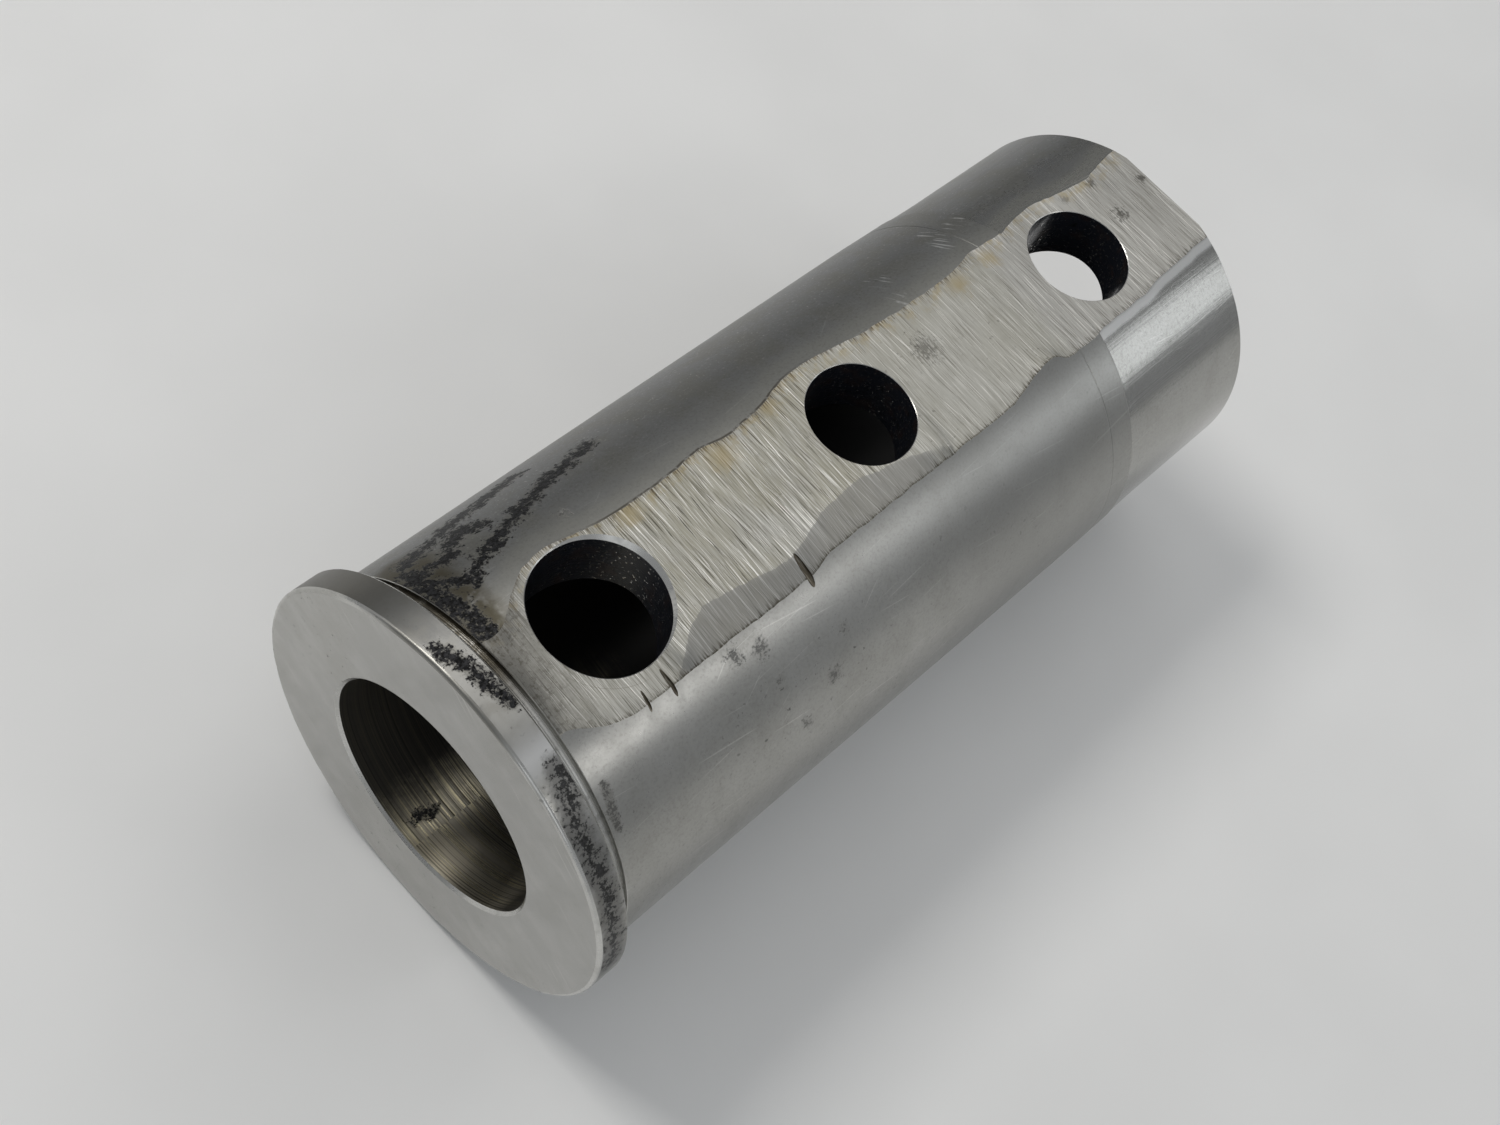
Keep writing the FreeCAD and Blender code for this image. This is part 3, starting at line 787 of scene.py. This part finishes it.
def flat_material():
    g = Graph("sleeve_flat")
    facet = g.attribute("facet_side")
    near = g.attribute("from_near_edge")
    far = g.attribute("from_far_edge")
    tail_part = g.step(g.x + g.noise(g.p, 0.3, 2.0) * 3.0, 89.0, 92.5)
    ends = g.noise(g.vector(g.x * 3.0, g.y * 0.25), 1.0, 2.0, 0.6)
    on_facet = g.step(facet + (ends - 0.5) * 0.5, -0.03, 0.03) * g.window(g.x, 14.0, 62.0, 0.6)
    f = Finish(g, (0.415, 0.41, 0.375), 0.38)
    tarnish(f, (0.33, 0.32, 0.27), 0.7)
    # the tail end is cooler
    f.layer(tail_part * 0.6, (0.38, 0.375, 0.36), roughness=0.34)
    middle = g.window(g.x, 20, 58, 6)
    olive = g.step(g.noise(g.p, 0.12, 3.0, 0.6), 0.30, 0.62)
    f.layer(middle * olive * 0.45, (0.34, 0.32, 0.235))
    coarse = (1.0 + g.window(g.x, 16, 54, 4) * 0.18 - g.window(g.x, 58, 89, 3) * 0.40
              - 0.10 * on_facet - 0.25 * tail_part)
    tone = 0.0
    for index, (lean, fine, stretch, weight) in enumerate(BROAD_STROKES):
        lines = strokes(g, lean, fine, stretch, index * 5.0) - 0.5
        tone = lines * weight + tone
        f.height = f.height + lines * (0.009 / fine) * coarse
        f.roughness = f.roughness + lines * 0.10
    patches = g.step(g.noise(g.vector(g.x * 0.15, g.y * 0.2), 1.0, 3.0, 0.6), 0.35, 0.65, 0.5, 1.0)
    f.layer(g.step(tone, 0.02, 0.30) * coarse * patches * 0.7, (0.62, 0.61, 0.575), roughness=0.32)
    f.layer(g.step(tone, -0.02, -0.30) * coarse * patches * 0.8, (0.17, 0.16, 0.13), roughness=0.45)
    for index, (lean, fine, stretch, low, colour) in enumerate(DEEP_STROKES):
        mask = g.step(strokes(g, lean, fine, stretch, 30.0 + index * 7), low, low + 0.05)
        f.layer(mask * (coarse * 0.75 + 0.05), colour, roughness=0.3, height=-0.002)
    # the facet is finer; its darker colour is painted shade, for its tilt away from the light
    f.layer(on_facet * 0.62, (0.262, 0.26, 0.25), roughness=0.40)
    # yellow-brown stains along the far edge and in spots
    tint = g.noise(g.vector(g.x * 0.6, g.y * 0.5), 1.0, 4.0, 0.65)
    f.layer(g.step(far, 3.0, 0.2) * g.step(tint, 0.45, 0.65) * 0.55, YELLOW_STAIN, roughness=0.42)
    for x, y, size in YELLOW_SPOTS:
        distance = g.vector_math("DISTANCE", g.vector(g.x, g.y), (x, y, 0))
        f.layer(g.step(distance + (tint - 0.5) * 5, size, 0.0) * 0.6, YELLOW_STAIN)
    # dark ends of the grinding scratches at both edges
    ticks = g.noise(g.vector(g.x * 5.0, g.y * 0.3, 11.0), 1.0, 3.0, 0.6)
    reach = g.step(g.noise(g.vector(g.x * 0.7, 0.0, 5.0), 1.0, 3.0, 0.7), 0.35, 0.7) * 2.2 + 0.1
    f.layer(g.step(near, reach, 0.0) * g.step(ticks, 0.46, 0.60) * 0.8, (0.10, 0.09, 0.07), roughness=0.5)
    near_ticks = g.step(near, 0.3, 0.1) * g.step(ticks, 0.38, 0.5) * g.window(g.x, 12, 90, 4)
    f.layer(near_ticks * 0.6, (0.09, 0.08, 0.06), roughness=0.5)
    far_ticks = g.step(far, reach, 0.0) * g.step(ticks, 0.46, 0.60) * g.step(g.x, 92, 86)
    f.layer(far_ticks * 0.8, (0.11, 0.085, 0.055), roughness=0.5)
    # small pit clusters
    for x, y, size, dark in PIT_CLUSTERS:
        distance = g.vector_math("DISTANCE", g.vector(g.x, g.y), (x, y, 0))
        lace = g.noise(g.vector(g.x * 2.4, g.y * 1.1), 1.0, 4.0, 0.7) - 0.5
        ragged = g.step(1.0 - distance * (1 / size) + lace * 4.5, 0.2, 0.9)
        pits = ragged * g.step(distance, size * 1.2, size * 0.8)
        f.layer(pits * dark, (0.08, 0.075, 0.065), roughness=0.5, height=-0.005)
    # grime, and painted shade on the flat beside the flange, round the head end
    head = g.step(g.x + (tint - 0.5) * 6 - g.y * 0.25, 12.0, 2.0)
    f.layer(head * 0.85, (0.17, 0.165, 0.15), roughness=0.42)
    f.layer(head * g.step(g.noise(g.p, 1.6, 5.0, 0.75), 0.50, 0.62) * 0.6, (0.09, 0.08, 0.06), roughness=0.5)
    # rub rings round the head-end hole
    x, radius = HOLES[0]
    distance = g.vector_math("DISTANCE", g.vector(g.x, g.y), (x, 0, 0))
    rings = g.noise(g.vector(distance * 5.0, 0.0), 1.0, 1.0)
    round_hole = g.window(distance, radius + 0.4, radius + 2.6, 0.3)
    rubbed = round_hole * g.step(rings, 0.56, 0.68) * g.step(g.x, 17, 12)
    f.layer(rubbed * 0.6, (0.22, 0.2, 0.17), roughness=0.5)
    return g.finish(f.colour, f.metallic, f.roughness.clamp(), f.height, 0.6, g.vector(1.0, 0.0, 0.0))


def bore_material():
    g = Graph("sleeve_bore")
    f = Finish(g, WARM_STEEL, 0.36)
    tarnish(f, (0.30, 0.27, 0.20))
    lines = turning_lines(f, g.x, g.turn * 0.2, 4.4, 0.007)
    f.layer(g.step(lines, 0.51, 0.62) * 0.85, (0.86, 0.77, 0.50), roughness=0.24)
    f.layer(g.step(lines, 0.47, 0.38) * 0.85, (0.10, 0.09, 0.06), roughness=0.45)
    film_and_shade = g.noise(g.vector(g.x * 0.25, g.turn * 4.0), 1.0, 5.0, 0.7)
    # angle from the bottom of the bore, positive towards the near side
    low = g.math("ARCTAN2", -g.y, -g.z) * math.degrees(1)
    # painted shade: the bore darkened with the near-black oil colour everywhere but a lit patch low down near
    # the mouth, darkest deep inside
    lit = g.step(low + film_and_shade * 24, -18, 10) * g.step(low + film_and_shade * 16, 74, 50)
    bright = lit * g.step(g.x + film_and_shade * 16, 42, 20)
    f.layer((1.0 - bright * 0.96).clamp() * g.step(g.x, 0, 12, 0.93, 1.0), OIL_AND_SHADE, roughness=0.42, metallic=0.4)
    rust(f, stain_path(g, [(-1.0, 170.5), (0.2, 172)], 1.7, 0.6), 0.95, 0.7, 0.1, 1.6)
    return g.finish(f.colour, f.metallic, f.roughness.clamp(), f.height, 0.5, g.vector(1.0, 0.0, 0.0))


def hole_wall_material():
    g = Graph("sleeve_hole_wall")
    # near-black walls: oil, and painted shade inside the holes
    f = Finish(g, (0.055, 0.058, 0.066), 0.30)
    tarnish(f, OIL_AND_SHADE)
    rings = g.noise(g.vector(g.z * 3.0, 0.0), 1.0, 3.0, 0.6)
    f.height = f.height + (rings - 0.5) * 0.05
    film_and_shade = g.noise(g.p, 0.8, 4.0, 0.7)
    f.layer(g.step(film_and_shade, 0.28, 0.46) * 0.96, (0.014, 0.016, 0.022), roughness=0.34, metallic=0.2)
    # painted glints: bright metal specks on the walls
    f.layer(g.step(g.noise(g.p, 2.6, 1.0), 0.66, 0.71), (0.62, 0.61, 0.58), roughness=0.22, metallic=1.0)
    lumps = g.noise(g.p, 1.3, 3.0, 0.6)
    f.height = f.height + g.step(lumps, 0.50, 0.66) * 0.03
    warm = g.step(g.noise(g.p, 0.5, 3.0), 0.50, 0.70)
    f.layer(warm * 0.3, (0.06, 0.03, 0.018))
    return g.finish(f.colour, f.metallic, f.roughness.clamp(), f.height, coat=0.6)


def bright_edge_material():
    g = Graph("sleeve_bright_edge")
    f = Finish(g, (0.64, 0.635, 0.61), 0.28)
    tarnish(f, DARK_STEEL, 1.0)
    toned = g.window(g.angle, -14, 26, 6) * g.step(g.x, -2.0, -3.0)
    f.layer(toned * 0.7, (0.16, 0.155, 0.135), roughness=0.46)
    turning_lines(f, g.x, g.turn, 10.0, 0.001)
    return g.finish(f.colour, f.metallic, f.roughness.clamp(), f.height)


def tail_face_material():
    g = Graph("sleeve_tail_face")
    f = Finish(g, STEEL, 0.28)
    tarnish(f, DARK_STEEL)
    turning_lines(f, g.radius, g.turn, 6.0, 0.003)
    return g.finish(f.colour, f.metallic, f.roughness.clamp(), f.height, 0.3, radial_tangent(g))


def nick_material():
    g = Graph("sleeve_nick")
    f = Finish(g, (0.15, 0.13, 0.10), 0.45)
    tarnish(f, (0.05, 0.042, 0.032))
    drag = g.noise(g.vector(g.x * 4.0, g.y * 0.4), 1.0, 2.0, 0.6)
    f.layer(g.step(drag, 0.52, 0.64) * 0.5, (0.34, 0.32, 0.27), roughness=0.35, height=0.01)
    return g.finish(f.colour, f.metallic, f.roughness.clamp(), f.height)


materials = {
    "shank": shank_material("sleeve_shank"),
    "tail": shank_material("sleeve_tail", tail=True),
    "front_face": front_face_material(),
    "head_rim": head_rim_material(),
    "relief": relief_material(),
    "flat": flat_material(),
    "hole_wall": hole_wall_material(),
    "bore": bore_material(),
    "bright_edge": bright_edge_material(),
    "tail_face": tail_face_material(),
    "nick": nick_material(),
}

# ---------------------------------------------------------------- machining


# Nicks at the flat's near edge as (x, y, length, width, depth, lean in degrees).
NICKS = [(12.8, -11.2, 3.2, 0.40, 0.26, -10), (16.3, -11.2, 5.2, 0.55, 0.34, -3),
         (38.3, -10.8, 5.2, 0.90, 0.42, -4)]


def crescent(turn):
    """The head-end hole is countersunk off centre, towards the tail."""
    return 0.12 + 0.50 * np.clip(np.cos(turn - math.radians(8)), 0, 1) ** 1.3


def even_break(turn):
    """The other holes have the same small edge break all round."""
    return np.full(len(turn), 0.08)


sleeve = turned_blank()
cut(sleeve, grinding_slab())
for (place, radius), break_width in zip(HOLES, (crescent, even_break, even_break)):
    cut(sleeve, hole_cutter(place, radius, break_width))
for nick in NICKS:
    cut(sleeve, gouge_cutter(*nick))

mesh = sleeve.data
co = np.empty(len(mesh.vertices) * 3, np.float32)
mesh.vertices.foreach_get("co", co)
co = co.reshape(-1, 3) / MM
for name, values in (("facet_side", along(facet_edge, co[:, 0]) - co[:, 1]),
                     ("from_near_edge", co[:, 1] - along(near_y, co[:, 0])),
                     ("from_far_edge", along(far_y, co[:, 0]) - co[:, 1])):
    mesh.attributes.new(name, "FLOAT", "POINT").data.foreach_set("value", values.astype(np.float32))
mesh.polygons.foreach_set("use_smooth", [True] * len(mesh.polygons))
mesh.set_sharp_from_angle(angle=math.radians(11))

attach(sleeve, "root")
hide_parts(NODE)

# ---------------------------------------------------------------- floor, light, camera


def floor():
    """A pale floor under the head's rim and the corner where the tail starts."""
    g = Graph("floor_pale")
    mottled = g.noise(g.p, 0.02, 3.0, 0.5)
    grain = g.noise(g.p, 1.2, 2.0, 0.6)
    colour = g.colour_mix(g.step(mottled, 0.3, 0.7), (0.80, 0.80, 0.79), (0.84, 0.84, 0.83))
    g.finish(colour, 0.0, 0.55 + (grain - 0.5) * 0.1, (grain - 0.5) * 0.01)
    slope = math.atan2(HEAD_RADIUS - SHANK_RADIUS, TAIL_START)
    mesh = bpy.data.meshes.new("floor")
    half = 3000 * MM
    corners = [(-half, -half, 0), (half, -half, 0), (half, half, 0), (-half, half, 0)]
    mesh.from_pydata(corners, [], [(0, 1, 2, 3)])
    mesh.materials.append(g.material)
    obj = bpy.data.objects.new("floor", mesh)
    bpy.context.scene.collection.objects.link(obj)
    obj.location = (-HEAD_BACK_CHAMFER * MM, 0, -HEAD_RADIUS * MM)
    obj.rotation_euler = (0, -slope, 0)


def softbox(name, direction, distance, width, depth, power, colour):
    """An area light that faces the sleeve from the given direction; metres and watts."""
    data = bpy.data.lights.new(name, "AREA")
    data.shape = "RECTANGLE"
    data.size, data.size_y = width, depth
    data.energy = power
    data.color = colour
    obj = bpy.data.objects.new(name, data)
    bpy.context.scene.collection.objects.link(obj)
    away = Vector(direction).normalized()
    obj.location = AIM + away * distance
    obj.rotation_mode = "QUATERNION"
    obj.rotation_quaternion = away.to_track_quat("Z", "Y")


def studio_world():
    """Soft grey surroundings, a little darker behind the part."""
    world = bpy.data.worlds.new("studio")
    world.use_nodes = True
    tree = world.node_tree
    tree.nodes.clear()
    place = tree.nodes.new("ShaderNodeTexCoord")
    split = tree.nodes.new("ShaderNodeSeparateXYZ")
    tree.links.new(place.outputs["Generated"], split.inputs[0])
    ramp = tree.nodes.new("ShaderNodeMapRange")
    ramp.interpolation_type = "SMOOTHSTEP"
    for key, value in (("From Min", -0.6), ("From Max", 0.9), ("To Min", 0.36), ("To Max", 0.25)):
        ramp.inputs[key].default_value = value
    tree.links.new(split.outputs["Y"], ramp.inputs["Value"])
    shade = tree.nodes.new("ShaderNodeBackground")
    shade.inputs["Color"].default_value = (0.93, 0.96, 1.0, 1.0)
    tree.links.new(ramp.outputs[0], shade.inputs["Strength"])
    out = tree.nodes.new("ShaderNodeOutputWorld")
    tree.links.new(shade.outputs[0], out.inputs["Surface"])
    bpy.context.scene.world = world


AIM = Vector((47.66, -0.77, 0.0)) * MM
AZIMUTH, ELEVATION, ROLL = math.radians(-69.43), math.radians(57.07), math.radians(28.66)
DISTANCE = 249.4 * MM
LENS = 47.68


def camera():
    """A camera at the photograph's viewing angle."""
    data = bpy.data.cameras.new("camera")
    data.lens, data.sensor_width = LENS, 36.0
    data.clip_start, data.clip_end = 0.01, 20.0
    obj = bpy.data.objects.new("camera", data)
    bpy.context.scene.collection.objects.link(obj)
    back = Vector((math.sin(AZIMUTH) * math.cos(ELEVATION), -math.cos(AZIMUTH) * math.cos(ELEVATION),
                   math.sin(ELEVATION)))
    obj.location = AIM + back * DISTANCE
    obj.rotation_mode = "QUATERNION"
    obj.rotation_quaternion = (-back).to_track_quat("-Z", "Y") @ Matrix.Rotation(ROLL, 3, "Z").to_quaternion()
    bpy.context.scene.camera = obj


bpy.context.scene.view_settings.view_transform = "Standard"
floor()
softbox("key", (-0.15, 0.60, 0.78), 1.0, 0.30, 0.30, 3.8, (1.0, 0.98, 0.95))
softbox("overhead", (0.50, 0.19, 0.84), 0.75, 0.60, 0.60, 0.86, (1.0, 0.98, 0.95))
softbox("side", (0.70, -0.59, 0.40), 0.70, 0.20, 0.20, 0.15, (0.93, 0.97, 1.0))
softbox("glint", (0.32, -0.70, 0.63), 0.80, 0.22, 0.14, 0.26, (1.0, 0.99, 0.97))
softbox("fill", (-0.7, -0.55, 0.45), 0.90, 0.50, 0.50, 0.5, (0.95, 0.98, 1.0))
studio_world()
camera()
